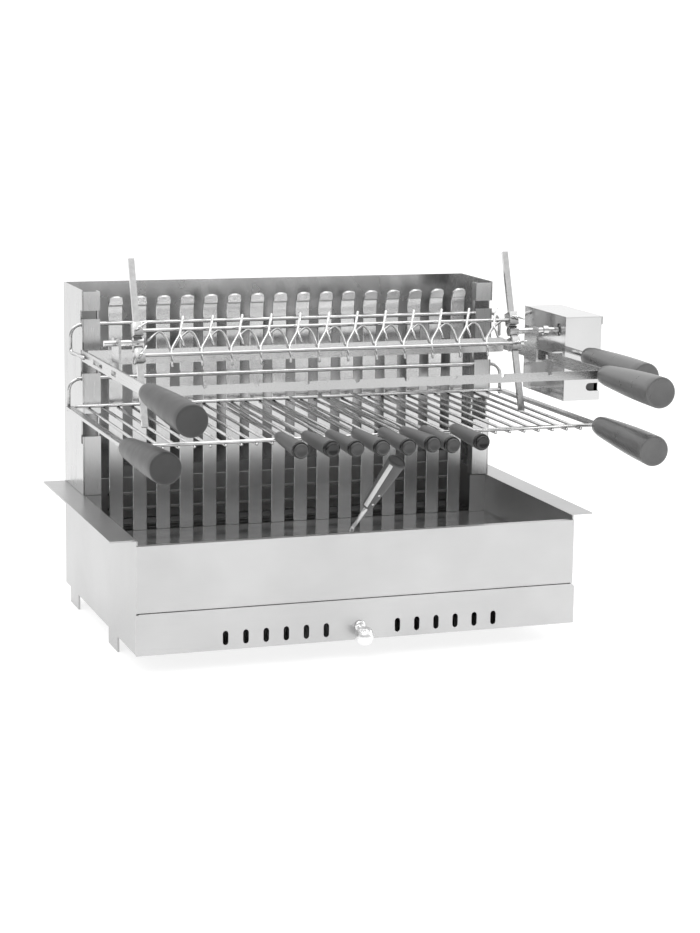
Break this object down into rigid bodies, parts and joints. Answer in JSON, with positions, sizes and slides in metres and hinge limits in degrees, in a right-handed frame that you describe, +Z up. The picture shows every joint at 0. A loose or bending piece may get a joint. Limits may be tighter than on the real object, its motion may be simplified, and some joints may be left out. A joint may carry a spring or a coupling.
{
  "type": "rotisserie spit roaster",
  "caption": "Charcoal roaster with an upright bar fire, a lift-out grill, a clamp spit on a hooked carrier, a motor and skewers.",
  "frame": {"origin": "middle of the trough's underside, on the floor of the box", "axes": "+X to the right as seen from the front, along the box's long side; +Y to the back, away from the handles; +Z up"},
  "size_m": [0.7214, 0.6571, 0.5111],
  "materials": {
    "satin_steel": "satin stainless steel sheet",
    "polished_steel": "mirror-polished stainless steel sheet",
    "bar_steel": "plain bright steel bar",
    "bright_wire": "bright plated wire",
    "handle_grey": "satin dark grey, smooth",
    "grip_black": "black, lightly glossy",
    "motor_grey": "dark grey motor body"
  },
  "bodies": {
    "box": {"trough": "satin_steel", "front_panel": "satin_steel", "back_reflector": "polished_steel", "rack_post_left": "satin_steel", "rack_post_right": "satin_steel", "foot_front_left": "satin_steel", "foot_front_right": "satin_steel", "foot_rear_left": "satin_steel", "foot_rear_right": "satin_steel", "hearth_plate": "polished_steel", "charcoal_grate": "bar_steel", "fire_grate": "bar_steel"},
    "drawer": {"ash_drawer": "satin_steel", "drawer_knob": "polished_steel"},
    "grill": {"grill_grid": "bright_wire", "grill_hook_wire": "bright_wire", "grill_arm_left": "bar_steel", "grill_arm_right": "bar_steel", "grill_handle_left": "handle_grey", "grill_handle_right": "handle_grey"},
    "carrier": {"carrier_rear_bar": "bar_steel", "carrier_hook_wire": "bright_wire", "carrier_front_bar": "bar_steel", "carrier_arm_left": "bar_steel", "carrier_arm_right": "bar_steel", "carrier_handle_left": "handle_grey", "carrier_handle_right": "handle_grey", "spit_bracket_left": "bar_steel", "spit_bracket_right": "bar_steel", "motor_housing": "polished_steel", "motor_cover": "polished_steel", "gear_motor": "motor_grey", "motor_handle": "handle_grey"},
    "spit": {"spit_upright_left": "bar_steel", "spit_upright_right": "bar_steel", "drive_socket": "polished_steel"},
    "upper_jaw": {"upper_jaw": "bright_wire"},
    "lower_jaw": {"lower_jaw": "bright_wire"},
    "tool": {"tool_handle": "grip_black", "tool_rod": "bar_steel"},
    "upper_screw_left": {"upper_screw_left": "bar_steel"},
    "upper_screw_right": {"upper_screw_right": "bar_steel"},
    "lower_screw_left": {"lower_screw_left": "bar_steel"},
    "lower_screw_right": {"lower_screw_right": "bar_steel"},
    "skewer_1": {"skewer_handle_1": "grip_black", "skewer_blade_1": "bright_wire"},
    "skewer_2": {"skewer_handle_2": "grip_black", "skewer_blade_2": "bright_wire"},
    "skewer_3": {"skewer_handle_3": "grip_black", "skewer_blade_3": "bright_wire"},
    "skewer_4": {"skewer_handle_4": "grip_black", "skewer_blade_4": "bright_wire"},
    "skewer_5": {"skewer_handle_5": "grip_black", "skewer_blade_5": "bright_wire"},
    "skewer_6": {"skewer_handle_6": "grip_black", "skewer_blade_6": "bright_wire"},
    "skewer_7": {"skewer_handle_7": "grip_black", "skewer_blade_7": "bright_wire"},
    "skewer_8": {"skewer_handle_8": "grip_black", "skewer_blade_8": "bright_wire"}
  },
  "joints": [
    {"name": "drawer_slide", "type": "slide", "parent": "box", "child": "drawer", "axis": [0, -1, 0], "range_m": [0, 0.33]},
    {"name": "grill_lift", "type": "slide", "parent": "box", "child": "grill", "axis": [0, 0, 1], "range_m": [0, 0.025]},
    {"name": "carrier_lift", "type": "slide", "parent": "box", "child": "carrier", "axis": [0, 0, 1], "range_m": [0, 0.015]},
    {"name": "spit_spin", "type": "hinge", "parent": "carrier", "child": "spit", "pos_m": [0, -0.0698, 0.3794], "axis": [1, 0, 0], "continuous": true},
    {"name": "upper_jaw_slide", "type": "slide", "parent": "spit", "child": "upper_jaw", "axis": [0, 0.3264, 0.9452], "range_m": [0, 0.068]},
    {"name": "lower_jaw_slide", "type": "slide", "parent": "spit", "child": "lower_jaw", "axis": [0, -0.3264, -0.9452], "range_m": [0, 0.05]},
    {"name": "upper_screw_left_turn", "type": "hinge", "parent": "upper_jaw", "child": "upper_screw_left", "pos_m": [-0.263, -0.07351, 0.39867], "axis": [0, -0.9452, 0.3264], "range_deg": [0, 360]},
    {"name": "upper_screw_right_turn", "type": "hinge", "parent": "upper_jaw", "child": "upper_screw_right", "pos_m": [0.263, -0.07351, 0.39867], "axis": [0, -0.9452, 0.3264], "range_deg": [0, 360]},
    {"name": "lower_screw_left_turn", "type": "hinge", "parent": "lower_jaw", "child": "lower_screw_left", "pos_m": [-0.263, -0.08494, 0.36558], "axis": [0, -0.9452, 0.3264], "range_deg": [0, 360]},
    {"name": "lower_screw_right_turn", "type": "hinge", "parent": "lower_jaw", "child": "lower_screw_right", "pos_m": [0.263, -0.08494, 0.36558], "axis": [0, -0.9452, 0.3264], "range_deg": [0, 360]},
    {"name": "skewer_1_pull", "type": "slide", "parent": "grill", "child": "skewer_1", "axis": [-0.0619, -0.998, 0.015], "range_m": [0, 0.24]},
    {"name": "skewer_2_pull", "type": "slide", "parent": "grill", "child": "skewer_2", "axis": [-0.014, -0.9998, 0.015], "range_m": [0, 0.24]},
    {"name": "skewer_3_pull", "type": "slide", "parent": "grill", "child": "skewer_3", "axis": [-0.018, -0.9998, 0.002], "range_m": [0, 0.24]},
    {"name": "skewer_4_pull", "type": "slide", "parent": "grill", "child": "skewer_4", "axis": [-0.031, -0.9995, 0], "range_m": [0, 0.24]},
    {"name": "skewer_5_pull", "type": "slide", "parent": "grill", "child": "skewer_5", "axis": [-0.044, -0.999, -0.008], "range_m": [0, 0.24]},
    {"name": "skewer_6_pull", "type": "slide", "parent": "grill", "child": "skewer_6", "axis": [-0.014, -0.9998, 0.013], "range_m": [0, 0.24]},
    {"name": "skewer_7_pull", "type": "slide", "parent": "grill", "child": "skewer_7", "axis": [-0.026, -0.9996, -0.007], "range_m": [0, 0.24]},
    {"name": "skewer_8_pull", "type": "slide", "parent": "grill", "child": "skewer_8", "axis": [-0.0489, -0.9988, 0.009], "range_m": [0, 0.24]},
    {"name": "tool_lift", "type": "slide", "parent": "box", "child": "tool", "axis": [0, 0, 1], "range_m": [0, 0.015]}
  ]
}
